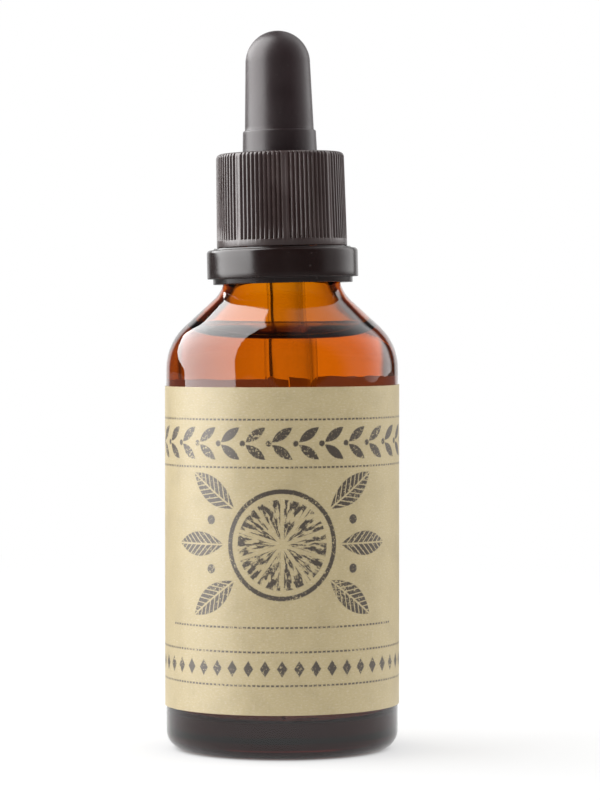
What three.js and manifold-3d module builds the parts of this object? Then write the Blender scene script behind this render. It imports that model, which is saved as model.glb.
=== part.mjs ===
// Amber glass dropper bottle for bitters: bottle, label, fill, break-away ring, ribbed screw cap,
// rubber teat, glass pipette and the liquid standing in it.
// Millimetres, +Z up, origin at the centre of the foot on the surface that the bottle stands on.

import * as THREE from "three";
import { mergeVertices } from "three/addons/utils/BufferGeometryUtils.js";
import Module from "manifold-3d";

const wasm = await Module();
wasm.setup();

// Clearances
const RUNNING_GAP = 0.3;
const SEAT_GAP = 0.15;
const LABEL_GAP = 0.08;
const BREAK_GAP = 0.3;

// Glass bottle, body and shoulder
const BODY_DIAMETER = 37.0;
const BODY_WALL = 1.9;
const FLOOR_THICKNESS = 5.5;
const HEEL_RADIUS = 3.0;
const INNER_HEEL_RADIUS = 4.0;
const FOOT_WIDTH = 2.6;
const PUSH_UP = 0.9;
const SHOULDER_START = 60.65;
const SHOULDER_RADIUS = 9.2;
const SHOULDER_SLOPE = THREE.MathUtils.degToRad(47.5);

// Glass bottle, neck and finish
const NECK_DIAMETER = 18.2;
const NECK_FILLET = 5.73;
const NECK_HEIGHT = 0.05;
const BEAD_OVERHANG = 1.2;
const BEAD_HEIGHT = 1.6;
const BEAD_ROUND = 0.5;
const FINISH_DIAMETER = 15.8;
const FINISH_HEIGHT = 14.5;
const MOUTH_BORE = 11.0;
const MOUTH_ROUND = 0.7;
const BORE_TAPER = 2.4;

// Thread on the neck
const THREAD_PITCH = 3.0;
const THREAD_TURNS = 1.75;
const THREAD_HEIGHT = 0.85;
const THREAD_ROD_RADIUS = 1.1;
const THREAD_DEPTH = 2.2;
const THREAD_FADE = 0.12;

// Paper label
const LABEL_FOOT = 7.2;
const LABEL_TOP_MARGIN = 2.65;
const LABEL_THICKNESS = 0.12;
const LABEL_WRAP = THREE.MathUtils.degToRad(359);

// Liquid in the bottle, its level above the start of the shoulder
const FILL_RISE = 3.88;

// Break-away ring
const RING_WALL = 1.45;
const RING_HEIGHT = 5.5;
const RING_LIP_STEP = 0.9;
const RING_LIP_HEIGHT = 0.9;
const RING_HOOK_HEIGHT = 1.5;
const RING_ROUND = 0.6;

// Screw cap
const CAP_WALL = 1.15;
const CAP_TAPER = 0.2;
const CAP_PANEL = 1.3;
const CAP_EDGE_ROUND = 0.8;
const CAP_BAND = 1.1;
const RIB_COUNT = 88;
const WIDE_RIB_EVERY = 11;
const RIB_DEPTH = 0.42;
const RIB_SHARE = 0.5;
const RIB_TURN = THREE.MathUtils.degToRad(-86.3);

// Rubber teat
const COLLAR_DIAMETER = 11.9;
const COLLAR_RISE = 3.6;
const COLLAR_ROUND = 0.4;
const COLLAR_STEP = 0.45;
const BULB_TAPER = 0.35;
const BULB_HEIGHT = 15.9;
const BULB_WALL = 1.2;
const FLANGE_INSET = 0.3;
const FLANGE_THICKNESS = 1.4;
const PLUG_LENGTH = 3.5;

// Glass pipette
const PIPETTE_DIAMETER = 6.2;
const PIPETTE_WALL = 0.9;
const RIM_FLARE = 0.7;
const RIM_HEIGHT = 1.2;
const RIM_DEPTH = 2.0;
const TIP_CLEARANCE = 2.5;
const TIP_DIAMETER = 3.0;
const TIP_WALL = 0.8;
const TIP_TAPER = 9.0;

// Liquid in the pipette, its height above the tapered tip
const DOSE_RISE = 7.0;

// Facets
const GLASS_STEPS = 40;
const LABEL_STEPS = 48;
const FILL_STEPS = 32;
const RING_STEPS = 40;
const TEAT_STEPS = 28;
const PIPETTE_STEPS = 20;
const DOSE_STEPS = 16;
const THREAD_SIDES = 8;
const THREAD_STEPS = 48;
const ARC_STEPS = 4;
const ROUND_STEPS = 2;
const DOME_STEPS = 7;
const WELD = 1e-4;

const QUARTER = Math.PI / 2;
const TURN = 2 * Math.PI;

// Radii of the glass, outside and inside
const bodyRadius = BODY_DIAMETER / 2;
const neckRadius = NECK_DIAMETER / 2;
const beadRadius = neckRadius + BEAD_OVERHANG;
const finishRadius = FINISH_DIAMETER / 2;
const mouthRadius = MOUTH_BORE / 2;
const innerRadius = bodyRadius - BODY_WALL;
const innerNeckRadius = neckRadius - BODY_WALL;
const innerShoulderRadius = SHOULDER_RADIUS - BODY_WALL;
const shoulderCentre = bodyRadius - SHOULDER_RADIUS;

// Heights from the foot to the crown, each standing on the one before
const shoulderEnd = SHOULDER_START + SHOULDER_RADIUS * Math.sin(SHOULDER_SLOPE);
const shoulderEndRadius = shoulderCentre + SHOULDER_RADIUS * Math.cos(SHOULDER_SLOPE);
const filletStartRadius = neckRadius + NECK_FILLET * (1 - Math.cos(SHOULDER_SLOPE));
const filletStart = shoulderEnd + (shoulderEndRadius - filletStartRadius) / Math.tan(SHOULDER_SLOPE);
const neckFoot = filletStart + NECK_FILLET * Math.sin(SHOULDER_SLOPE);
const beadFoot = neckFoot + NECK_HEIGHT;
const beadTop = beadFoot + BEAD_HEIGHT;
const mouth = beadTop + FINISH_HEIGHT;
const ringFoot = beadFoot - SEAT_GAP - RING_HOOK_HEIGHT;
const ringTop = ringFoot + RING_HEIGHT;
const capFoot = ringTop + BREAK_GAP;
const flangeFoot = mouth + SEAT_GAP;
const flangeTop = flangeFoot + FLANGE_THICKNESS;
const panelFoot = flangeTop + SEAT_GAP;
const capTop = panelFoot + CAP_PANEL;
const collarTop = capTop + COLLAR_RISE;
const crown = collarTop + BULB_HEIGHT;
const rimSeat = collarTop - RIM_DEPTH;
const fillLevel = SHOULDER_START + FILL_RISE;
const tip = FLOOR_THICKNESS + TIP_CLEARANCE;
const doseLevel = tip + TIP_TAPER + DOSE_RISE;

// Radii that follow from a neighbour and a clearance
const capBoreRadius = finishRadius + THREAD_HEIGHT + RUNNING_GAP;
const capTopRadius = capBoreRadius + CAP_WALL;
const capFootRadius = capTopRadius + CAP_TAPER;
const collarRadius = COLLAR_DIAMETER / 2;
const pipetteRadius = PIPETTE_DIAMETER / 2;
const pipetteBoreRadius = pipetteRadius - PIPETTE_WALL;
const rimRadius = pipetteRadius + RIM_FLARE;
const tipRadius = TIP_DIAMETER / 2;

// A profile of radius against height, drawn with straight runs and round stretches
class Profile {
  constructor() {
    this.points = [];
  }

  to(radius, height) {
    this.points.push(new THREE.Vector2(radius, height));
    return this;
  }

  // Part of a circle round a centre, between two angles measured from the outward direction
  arc(centreRadius, centreHeight, size, from, until, steps) {
    for (let step = 0; step <= steps; step += 1) {
      const angle = THREE.MathUtils.lerp(from, until, step / steps);
      this.to(centreRadius + size * Math.cos(angle), centreHeight + size * Math.sin(angle));
    }
    return this;
  }

  closed() {
    this.points.push(this.points[0].clone());
    return this;
  }

  // The solid of revolution round the Z axis
  turned(steps) {
    return new THREE.LatheGeometry(this.points, steps).rotateX(QUARTER);
  }
}

// A closed geometry as a solid that can be joined and cut
function toSolid(geometry) {
  const bare = geometry.clone();
  bare.deleteAttribute("normal");
  bare.deleteAttribute("uv");
  const welded = mergeVertices(bare, WELD);
  const corners = welded.index.array;
  const triangles = [];
  for (let start = 0; start < corners.length; start += 3) {
    const [a, b, c] = corners.slice(start, start + 3);
    if (a !== b && b !== c && c !== a) {
      triangles.push(a, b, c);
    }
  }
  return new wasm.Manifold(new wasm.Mesh({
    numProp: 3,
    vertProperties: new Float32Array(welded.attributes.position.array),
    triVerts: new Uint32Array(triangles),
  }));
}

function toGeometry(solid) {
  const mesh = solid.getMesh();
  const geometry = new THREE.BufferGeometry();
  geometry.setAttribute("position", new THREE.BufferAttribute(mesh.vertProperties, 3));
  geometry.setIndex(new THREE.BufferAttribute(mesh.triVerts, 1));
  geometry.computeVertexNormals();
  return geometry;
}

// The round thread climbs the neck and sinks into it at both ends
class ThreadPath extends THREE.Curve {
  getPoint(t, target = new THREE.Vector3()) {
    const angle = t * THREAD_TURNS * TURN;
    const nearEnd = Math.max(0, 1 - Math.min(t, 1 - t) / THREAD_FADE);
    const crest = finishRadius + THREAD_HEIGHT - (THREAD_HEIGHT + SEAT_GAP) * nearEnd ** 2;
    const radius = crest - THREAD_ROD_RADIUS;
    const height = mouth - THREAD_DEPTH - (1 - t) * THREAD_TURNS * THREAD_PITCH;
    return target.set(radius * Math.cos(angle), radius * Math.sin(angle), height);
  }
}

function neckThread() {
  const section = new THREE.Shape().absarc(0, 0, THREAD_ROD_RADIUS, 0, TURN);
  return new THREE.ExtrudeGeometry(section, {
    curveSegments: THREAD_SIDES,
    steps: THREAD_STEPS,
    extrudePath: new ThreadPath(),
  });
}

// The outside of the glass, from the pushed-up foot to the mouth
function bottleForm() {
  const footOuter = bodyRadius - HEEL_RADIUS;
  return new Profile()
    .to(0, PUSH_UP)
    .to(footOuter - FOOT_WIDTH, 0)
    .arc(footOuter, HEEL_RADIUS, HEEL_RADIUS, -QUARTER, 0, ARC_STEPS)
    .arc(shoulderCentre, SHOULDER_START, SHOULDER_RADIUS, 0, SHOULDER_SLOPE, ARC_STEPS)
    .arc(neckRadius + NECK_FILLET, neckFoot, NECK_FILLET, Math.PI + SHOULDER_SLOPE, Math.PI, ARC_STEPS)
    .to(neckRadius, beadFoot)
    .arc(beadRadius - BEAD_ROUND, beadFoot + BEAD_ROUND, BEAD_ROUND, -QUARTER, 0, ROUND_STEPS)
    .arc(beadRadius - BEAD_ROUND, beadTop - BEAD_ROUND, BEAD_ROUND, 0, QUARTER, ROUND_STEPS)
    .to(finishRadius, beadTop)
    .arc(finishRadius - MOUTH_ROUND, mouth - MOUTH_ROUND, MOUTH_ROUND, 0, QUARTER, ROUND_STEPS)
    .to(0, mouth)
    .turned(GLASS_STEPS);
}

// The hollow in the glass, which runs out through the mouth
function bottleHollow() {
  const heelCentre = innerRadius - INNER_HEEL_RADIUS;
  const heelTop = FLOOR_THICKNESS + INNER_HEEL_RADIUS;
  const edgeRadius = mouthRadius + MOUTH_ROUND;
  const neckCentre = neckRadius + NECK_FILLET;
  const neckRound = NECK_FILLET + BODY_WALL;
  return new Profile()
    .to(0, FLOOR_THICKNESS)
    .arc(heelCentre, heelTop, INNER_HEEL_RADIUS, -QUARTER, 0, ARC_STEPS)
    .arc(shoulderCentre, SHOULDER_START, innerShoulderRadius, 0, SHOULDER_SLOPE, ARC_STEPS)
    .arc(neckCentre, neckFoot, neckRound, Math.PI + SHOULDER_SLOPE, Math.PI, ARC_STEPS)
    .to(innerNeckRadius, beadFoot)
    .to(mouthRadius, beadFoot + BORE_TAPER)
    .arc(edgeRadius, mouth - MOUTH_ROUND, MOUTH_ROUND, Math.PI, QUARTER, ROUND_STEPS)
    .to(edgeRadius, mouth + MOUTH_ROUND)
    .to(0, mouth + MOUTH_ROUND)
    .turned(GLASS_STEPS);
}

function glassBottle() {
  const threaded = toSolid(bottleForm()).add(toSolid(neckThread()));
  return toGeometry(threaded.subtract(toSolid(bottleHollow())));
}

// The label wraps right round the body, and its two ends nearly meet at the back
function paperLabel() {
  const inside = bodyRadius + LABEL_GAP;
  const outside = inside + LABEL_THICKNESS;
  const from = -QUARTER - LABEL_WRAP / 2;
  const until = -QUARTER + LABEL_WRAP / 2;
  const strip = new THREE.Shape();
  strip.absarc(0, 0, outside, from, until, false);
  strip.absarc(0, 0, inside, until, from, true);
  return new THREE.ExtrudeGeometry(strip, {
    depth: SHOULDER_START - LABEL_TOP_MARGIN - LABEL_FOOT,
    curveSegments: LABEL_STEPS,
    bevelEnabled: false,
  });
}

// The liquid fills the hollow up to its level, with a well for the pipette
function bittersFill() {
  const roundRadius = innerShoulderRadius - RUNNING_GAP;
  const levelAngle = Math.min(SHOULDER_SLOPE, Math.asin(Math.min(1, FILL_RISE / roundRadius)));
  const roundTop = SHOULDER_START + roundRadius * Math.sin(levelAngle);
  const roundTopRadius = shoulderCentre + roundRadius * Math.cos(levelAngle);
  const levelRadius = roundTopRadius - (fillLevel - roundTop) * Math.tan(SHOULDER_SLOPE);
  const heelCentre = innerRadius - INNER_HEEL_RADIUS;
  const heelRadius = INNER_HEEL_RADIUS - RUNNING_GAP;
  const heelTop = FLOOR_THICKNESS + INNER_HEEL_RADIUS;
  const wellRadius = pipetteRadius + RUNNING_GAP;
  const wellFoot = tip - RUNNING_GAP;
  return new Profile()
    .to(0, FLOOR_THICKNESS + RUNNING_GAP)
    .arc(heelCentre, heelTop, heelRadius, -QUARTER, 0, ARC_STEPS)
    .arc(shoulderCentre, SHOULDER_START, roundRadius, 0, levelAngle, ARC_STEPS)
    .to(levelRadius, fillLevel)
    .to(wellRadius, fillLevel)
    .to(wellRadius, wellFoot)
    .to(0, wellFoot)
    .turned(FILL_STEPS);
}

// The ring is held by the hook at its foot, which lies under the bead of the neck
function tamperRing() {
  const hookRadius = neckRadius + 2 * RUNNING_GAP;
  const hookTop = ringFoot + RING_HOOK_HEIGHT;
  const boreRadius = beadRadius + RUNNING_GAP;
  const outerRadius = boreRadius + RING_WALL;
  const lipRadius = outerRadius - RING_LIP_STEP;
  const lipTop = ringFoot + RING_LIP_HEIGHT;
  return new Profile()
    .to(hookRadius, ringFoot)
    .to(lipRadius, ringFoot)
    .to(lipRadius, lipTop)
    .to(outerRadius, lipTop)
    .arc(outerRadius - RING_ROUND, ringTop - RING_ROUND, RING_ROUND, 0, QUARTER, ROUND_STEPS)
    .to(boreRadius, ringTop)
    .to(boreRadius, hookTop)
    .to(hookRadius, hookTop)
    .closed()
    .turned(RING_STEPS);
}

// A cutter for the groove between two ribs, leaning with the taper of the cap's wall
function ribGroove(angle) {
  const height = capTop - capFoot;
  const width = (TURN * capFootRadius * (1 - RIB_SHARE)) / RIB_COUNT;
  const outside = CAP_WALL;
  const groove = new THREE.BoxGeometry(RIB_DEPTH + outside, width, height);
  groove.translate((outside - RIB_DEPTH) / 2, 0, height / 2 + CAP_BAND);
  groove.rotateY(-Math.atan2(CAP_TAPER, height));
  groove.translate(capFootRadius, 0, capFoot);
  return groove.rotateZ(angle);
}

function screwCap() {
  const shell = new Profile()
    .to(capBoreRadius, capFoot)
    .to(capFootRadius, capFoot)
    .arc(capTopRadius - CAP_EDGE_ROUND, capTop - CAP_EDGE_ROUND, CAP_EDGE_ROUND, 0, QUARTER, ROUND_STEPS)
    .to(collarRadius + RUNNING_GAP, capTop)
    .to(collarRadius + RUNNING_GAP, panelFoot)
    .to(capBoreRadius, panelFoot)
    .closed()
    .turned(RIB_COUNT)
    .rotateZ(RIB_TURN);
  let solid = toSolid(shell);
  for (let rib = 0; rib < RIB_COUNT; rib += 1) {
    if (rib % WIDE_RIB_EVERY !== 0) {
      solid = solid.subtract(toSolid(ribGroove(RIB_TURN + (rib / RIB_COUNT) * TURN)));
    }
  }
  return toGeometry(solid);
}

// One rubber moulding: plug in the bore, flange on the mouth, collar through the cap, and the bulb
function rubberTeat() {
  const plugRadius = mouthRadius - RUNNING_GAP;
  const plugFoot = flangeFoot - PLUG_LENGTH;
  const flangeRadius = finishRadius - FLANGE_INSET;
  const bulbRadius = collarRadius - COLLAR_STEP;
  const crownRadius = bulbRadius - BULB_TAPER;
  const crownCentre = crown - crownRadius;
  const gripRadius = pipetteRadius + SEAT_GAP;
  return new Profile()
    .to(gripRadius, plugFoot)
    .to(plugRadius, plugFoot)
    .to(plugRadius, flangeFoot)
    .to(flangeRadius, flangeFoot)
    .to(flangeRadius, flangeTop)
    .to(collarRadius, flangeTop)
    .arc(collarRadius - COLLAR_ROUND, collarTop - COLLAR_ROUND, COLLAR_ROUND, 0, QUARTER, ROUND_STEPS)
    .to(bulbRadius, collarTop)
    .arc(0, crownCentre, crownRadius, 0, QUARTER, DOME_STEPS)
    .arc(0, crownCentre, crownRadius - BULB_WALL, QUARTER, 0, DOME_STEPS)
    .to(rimRadius + SEAT_GAP, rimSeat)
    .to(gripRadius, rimSeat)
    .closed()
    .turned(TEAT_STEPS);
}

// The pipette hangs in the teat by the rim at its top, and tapers to its tip
function glassPipette() {
  const rimFoot = rimSeat + SEAT_GAP;
  const rimRound = RIM_HEIGHT / 2;
  return new Profile()
    .to(tipRadius - TIP_WALL, tip)
    .to(tipRadius, tip)
    .to(pipetteRadius, tip + TIP_TAPER)
    .to(pipetteRadius, rimFoot)
    .arc(rimRadius - rimRound, rimFoot + rimRound, rimRound, -QUARTER, QUARTER, 2 * ROUND_STEPS)
    .to(pipetteBoreRadius, rimFoot + RIM_HEIGHT)
    .to(pipetteBoreRadius, tip + TIP_TAPER)
    .closed()
    .turned(PIPETTE_STEPS);
}

// The liquid in the pipette stands low, under the air that the closed teat keeps in it
function pipetteDose() {
  const columnRadius = pipetteBoreRadius - SEAT_GAP;
  return new Profile()
    .to(0, tip)
    .to(tipRadius - TIP_WALL - SEAT_GAP, tip)
    .to(columnRadius, tip + TIP_TAPER)
    .to(columnRadius, doseLevel)
    .to(0, doseLevel)
    .turned(DOSE_STEPS);
}

function part(name, geometry, colour, roughness) {
  const material = new THREE.MeshStandardMaterial({ color: colour, roughness, metalness: 0 });
  const mesh = new THREE.Mesh(geometry, material);
  mesh.name = name;
  return mesh;
}

const label = part("paper_label", paperLabel(), 0xd9c9a0, 0.9);
label.position.z = LABEL_FOOT;

const filledBottle = new THREE.Group();
filledBottle.add(
  part("glass_bottle", glassBottle(), 0x7a3c08, 0.05),
  label,
  part("bitters_fill", bittersFill(), 0xb8500c, 0.05),
);

const dropper = new THREE.Group();
dropper.add(
  part("rubber_teat", rubberTeat(), 0x2f2b2b, 0.6),
  part("glass_pipette", glassPipette(), 0xe6eeee, 0.05),
  part("pipette_dose", pipetteDose(), 0xb8500c, 0.05),
);

const closure = new THREE.Group();
closure.add(
  part("tamper_ring", tamperRing(), 0x2b2727, 0.45),
  part("screw_cap", screwCap(), 0x2b2727, 0.45),
  dropper,
);

const bottle = new THREE.Group();
bottle.add(filledBottle, closure);

export default bottle;
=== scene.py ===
"""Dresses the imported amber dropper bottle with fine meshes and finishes, in a white studio.

Each piece of the closure, the glass, the label and the liquid is drawn as a profile, spun round
the bottle's axis and finished with its own procedural material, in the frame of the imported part.
"""

import math

import bmesh
import bpy
from mathutils import Matrix, Vector


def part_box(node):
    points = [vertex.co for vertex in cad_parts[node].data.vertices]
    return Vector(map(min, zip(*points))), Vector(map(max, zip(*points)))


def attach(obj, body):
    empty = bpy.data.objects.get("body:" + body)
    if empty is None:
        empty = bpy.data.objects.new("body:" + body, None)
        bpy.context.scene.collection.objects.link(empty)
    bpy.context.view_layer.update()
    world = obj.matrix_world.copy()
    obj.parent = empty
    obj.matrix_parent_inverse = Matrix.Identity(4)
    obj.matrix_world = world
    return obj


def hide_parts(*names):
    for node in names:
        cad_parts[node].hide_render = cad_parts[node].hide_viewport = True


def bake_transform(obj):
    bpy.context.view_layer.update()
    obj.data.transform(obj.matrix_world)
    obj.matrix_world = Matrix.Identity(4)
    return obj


bl_info = {
    "name": "Amber Dropper Bottle",
    "version": (1, 0, 0),
    "blender": (4, 5, 0),
    "location": "View3D > Sidebar > Bottle",
    "description": "Builds an amber dropper bottle and its studio round the packed frame",
    "category": "Object",
}

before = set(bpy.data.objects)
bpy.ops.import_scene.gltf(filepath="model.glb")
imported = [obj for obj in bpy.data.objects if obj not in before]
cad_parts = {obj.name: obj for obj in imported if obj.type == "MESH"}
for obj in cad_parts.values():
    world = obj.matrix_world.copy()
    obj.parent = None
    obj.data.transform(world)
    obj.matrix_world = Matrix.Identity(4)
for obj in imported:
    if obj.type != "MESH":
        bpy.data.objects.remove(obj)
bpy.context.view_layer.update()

MM = 0.001
TURN = 2 * math.pi
QUARTER = math.pi / 2
WELD = 1e-6
SHARP_ANGLE = math.radians(32)

GLASS_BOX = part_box("glass_bottle")
LABEL_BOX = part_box("paper_label")
FILL_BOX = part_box("bitters_fill")
RING_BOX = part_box("tamper_ring")
CAP_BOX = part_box("screw_cap")
TEAT_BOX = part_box("rubber_teat")
PIPETTE_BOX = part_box("glass_pipette")
DOSE_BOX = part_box("pipette_dose")

GLASS_STEPS = 224
CLOSURE_STEPS = 192
DROPPER_STEPS = 112
LABEL_STEPS = 160
ROUND_STEPS = 8
CURVE_STEPS = 16
DOME_STEPS = 24
EDGE_STEPS = 4
CAP_EDGE_STEPS = 3

MOTTLE_SCALE = 140.0
DUST_COLOUR = (0.16, 0.145, 0.14)
BLACK = (0.0, 0.0, 0.0)
CLEAR = (1.0, 1.0, 1.0)
TUBE_TINT = (0.982, 0.985, 0.978)
GLASS_IOR = 1.52
TUBE_IOR = 1.5
LIQUID_IOR = 1.36
STIPPLE_RADIUS = (0.0158, 0.0150)
STIPPLE_HEIGHT = (0.0014, 0.0010)
STIPPLE_ROUGHNESS = 0.6


# Settings

def size(name, millimetres, description):
    """A length that is given in millimetres and kept in metres."""
    return bpy.props.FloatProperty(
        name=name, description=description, default=millimetres * MM, unit="LENGTH", precision=5)


def angle(name, degrees, description):
    """An angle that is given in degrees."""
    return bpy.props.FloatProperty(
        name=name, description=description, default=math.radians(degrees), subtype="ANGLE")


def factor(name, value, description):
    """A plain number."""
    return bpy.props.FloatProperty(name=name, description=description, default=value)


def count(name, value, description):
    """A whole number."""
    return bpy.props.IntProperty(name=name, description=description, default=value)


def colour(name, value, description):
    """A linear colour."""
    return bpy.props.FloatVectorProperty(
        name=name, description=description, default=value, subtype="COLOR", min=0.0, max=1.0)


class GlassSettings(bpy.types.PropertyGroup):
    """Sizes and tint of the amber bottle."""

    wall: size("Wall", 1.9, "Thickness of the glass")
    floor: size("Floor", 5.5, "Thickness of the glass at the centre of the foot")
    heel: size("Heel", 3.0, "Outer radius where the wall turns into the foot")
    inner_heel: size("Inner heel", 4.0, "Inner radius where the wall turns into the floor")
    foot_width: size("Foot width", 2.6, "Width of the ring that the bottle stands on")
    push_up: size("Push-up", 0.9, "Rise of the foot's hollow centre")
    shoulder_start: size("Shoulder start", 60.65, "Height at which the wall starts to turn in")
    shoulder_radius: size("Shoulder radius", 9.2, "Outer radius of the shoulder's round")
    slope: angle("Slope", 47.5, "Angle by which the shoulder turns in")
    inner_neck_end: angle("Inner neck end", 12.0, "Slope at which the hollow's neck ends under the bore")
    bore_taper: size("Bore taper", 1.2, "Height over which the bore narrows above the hollow's neck")
    bore_foot: size("Bore foot", 5.2, "Radius of the bore at its lower end")
    neck_radius: size("Neck radius", 9.1, "Radius of the neck under the bead")
    neck_fillet: size("Neck fillet", 5.73, "Radius between the shoulder and the neck")
    neck_height: size("Neck height", 0.05, "Straight height of the neck under the bead")
    bead_overhang: size("Bead overhang", 1.2, "How far the bead stands out from the neck")
    bead_height: size("Bead height", 1.6, "Height of the bead that holds the ring")
    bead_round: size("Bead round", 0.5, "Radius of the bead's edges")
    finish_radius: size("Finish radius", 7.9, "Radius of the threaded wall")
    finish_height: size("Finish height", 14.5, "Height of the threaded wall above the bead")
    mouth_radius: size("Mouth radius", 5.5, "Radius of the bore")
    mouth_round: size("Mouth round", 0.7, "Radius of the mouth's edges")
    thread_pitch: size("Thread pitch", 3.0, "Rise of the thread in one turn")
    thread_turns: factor("Thread turns", 1.75, "Length of the thread in turns")
    thread_height: size("Thread height", 0.85, "How far the thread stands out")
    thread_half_width: size("Thread half width", 1.07, "Half of the thread's width at its root")
    thread_depth: size("Thread depth", 2.2, "Upper end of the thread below the mouth")
    thread_fade: factor("Thread fade", 0.21, "Turns in which the thread's ends sink into the wall")
    tint: colour("Tint", (0.968, 0.82, 0.0), "Colour that the glass lets through")
    density: factor("Density", 2200.0, "How strongly a metre of glass absorbs light")


class LabelSettings(bpy.types.PropertyGroup):
    """Sizes, paper and print of the label."""

    thickness: size("Thickness", 0.12, "Thickness of the paper")
    wrap: angle("Wrap", 359.0, "How far the paper goes round the body")
    tilt: angle("Tilt", 0.25, "How crooked the paper is stuck on")
    back_rise: size("Back rise", 0.9, "How far the paper rides up at the back")
    paper: colour("Paper", (0.460, 0.368, 0.188), "Main colour of the paper")
    pale: colour("Pale fibre", (0.54, 0.46, 0.30), "Colour of the pale fibres")
    dark: colour("Dark fibre", (0.27, 0.205, 0.10), "Colour of the dark fibres")
    # Painted light: the glued side's glow is an emission colour that stands in for light coming through
    # the paper.
    lit: colour("Lit through", (0.17, 0.142, 0.085), "Glow of the glued side, lit through the paper")
    ink: colour("Ink", (0.030, 0.018, 0.015), "Colour of the print")


class LiquidSettings(bpy.types.PropertyGroup):
    """Level and tint of the bitters."""

    overlap: size("Overlap", 0.04, "How far the liquid reaches into the glass that it wets")
    meniscus: size("Meniscus", 1.7, "Radius with which the liquid climbs the shoulder")
    dose_sag: size("Dose sag", 0.8, "Depth of the hollow top of the liquid in the pipette")
    tint: colour("Tint", (0.9925, 0.9175, 0.0), "Colour that the liquid lets through")
    density: factor("Density", 160.0, "How strongly a metre of liquid absorbs light")


class ClosureSettings(bpy.types.PropertyGroup):
    """Sizes and colours of the ring and the cap."""

    ring_wall: size("Ring wall", 1.45, "Thickness of the ring's wall")
    ring_gap: size("Ring gap", 0.3, "Gap between the ring's hook and the neck")
    lip_step: size("Lip step", 0.9, "How far the ring's lower lip is set back")
    lip_height: size("Lip height", 0.9, "Height of the ring's lower lip")
    hook_height: size("Hook height", 1.2, "Height of the hook under the bead")
    ring_round: size("Ring round", 0.6, "Radius of the ring's upper edge")
    edge_round: size("Edge round", 0.14, "Radius of the small moulded edges")
    bridge_count: count("Bridges", 12, "Number of broken bridges on the ring")
    bridge_height: size("Bridge height", 0.05, "Height of a broken bridge")
    land_rise: size("Land rise", 0.2, "Height of the inner land that the bridges stood on")
    cap_taper: size("Cap taper", 0.2, "How much wider the cap is at its foot")
    cap_bore: size("Cap bore", 9.05, "Radius of the cap's bore")
    cap_panel: size("Cap panel", 1.3, "Thickness of the cap's top")
    cap_round: size("Cap round", 0.8, "Radius of the cap's upper edge")
    cap_hole: size("Cap hole", 6.25, "Radius of the hole for the teat")
    band: size("Band", 1.1, "Height of the smooth band under the ribs")
    rib_count: count("Ribs", 88, "Number of rib places round the cap")
    wide_every: count("Wide rib every", 11, "Places between two grooves that are nearly left out")
    rib_depth: size("Rib depth", 0.42, "Depth of the grooves between the ribs")
    rib_turn: angle("Rib turn", -86.3, "Direction of the first wide rib")
    inner_thread: size("Inner thread", 0.5, "How far the cap's thread stands in")
    inner_thread_half_width: size("Inner thread half width", 0.45, "Half of its width at its root")
    inner_thread_turns: factor("Inner thread turns", 1.4, "Length of the cap's thread in turns")
    ring_dark: colour("Ring dark", (0.0100, 0.0030, 0.0026), "Dark tone of the ring")
    ring_pale: colour("Ring pale", (0.0145, 0.0058, 0.0050), "Pale tone of the ring")
    cap_dark: colour("Cap dark", (0.0400, 0.0220, 0.0205), "Dark tone of the cap")
    cap_pale: colour("Cap pale", (0.0600, 0.0370, 0.0350), "Pale tone of the cap")


class DropperSettings(bpy.types.PropertyGroup):
    """Sizes and colours of the teat and the pipette."""

    collar_radius: size("Collar radius", 5.95, "Radius of the collar that stands out of the cap")
    collar_rise: size("Collar rise", 3.6, "Height of the collar above the cap")
    collar_draft: size("Collar draft", 0.12, "How much the collar narrows towards its top")
    collar_round: size("Collar round", 0.28, "Radius of the collar's edge")
    collar_step: size("Collar step", 0.45, "How far the bulb is set back from the collar")
    bulb_taper: size("Bulb taper", 0.35, "How much the bulb narrows towards its crown")
    bulb_wall: size("Bulb wall", 1.2, "Thickness of the rubber")
    flange_thickness: size("Flange thickness", 1.4, "Thickness of the flange on the mouth")
    plug_length: size("Plug length", 3.5, "Length of the plug in the bore")
    plug_radius: size("Plug radius", 5.2, "Radius of the plug in the bore")
    seat_gap: size("Seat gap", 0.15, "Gap between the rubber and the pipette")
    lean: angle("Lean", 1.35, "How far the closure leans to the left")
    tube_lean: angle("Tube lean", 0.9, "How far the pipette leans in its seat besides")
    pipette_radius: size("Pipette radius", 3.1, "Radius of the glass tube")
    pipette_bore: size("Pipette bore", 2.2, "Radius of the tube's bore")
    rim_height: size("Rim height", 1.2, "Height of the rim that the tube hangs by")
    rim_depth: size("Rim depth", 2.0, "Seat of the rim below the collar's top")
    tip_radius: size("Tip radius", 1.5, "Radius of the tube's tip")
    tip_bore: size("Tip bore", 0.7, "Radius of the bore at the tip")
    tip_taper: size("Tip taper", 9.0, "Length over which the tube narrows to its tip")
    rubber_dark: colour("Rubber dark", (0.0170, 0.0062, 0.0078), "Dark tone of the rubber")
    rubber_pale: colour("Rubber pale", (0.0240, 0.0108, 0.0128), "Pale tone of the rubber")


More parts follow.
